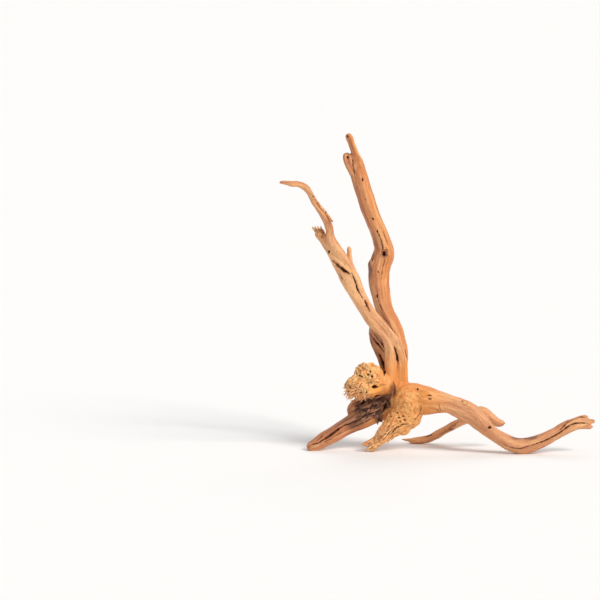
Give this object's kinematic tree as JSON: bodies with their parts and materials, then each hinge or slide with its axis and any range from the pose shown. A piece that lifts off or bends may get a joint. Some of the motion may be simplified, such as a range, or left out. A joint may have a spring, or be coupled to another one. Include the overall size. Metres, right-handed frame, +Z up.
{
  "type": "dry root",
  "caption": "Bare, bark-free shrub root: upright branches, a long drooping arm, a split leg and frayed burls grown as one piece, standing on three points.",
  "frame": {"origin": "on the ground under the middle of the root's overall box", "axes": "+X towards the tip of the long arm, +Y towards the back, where the tall branch leans, +Z up"},
  "size_m": [0.3146, 0.1316, 0.3148],
  "materials": {
    "wood": "bare, smooth, satin heartwood with long grain, dark drying cracks and rough burls"
  },
  "bodies": {
    "root": {"root": "wood"}
  },
  "joints": []
}
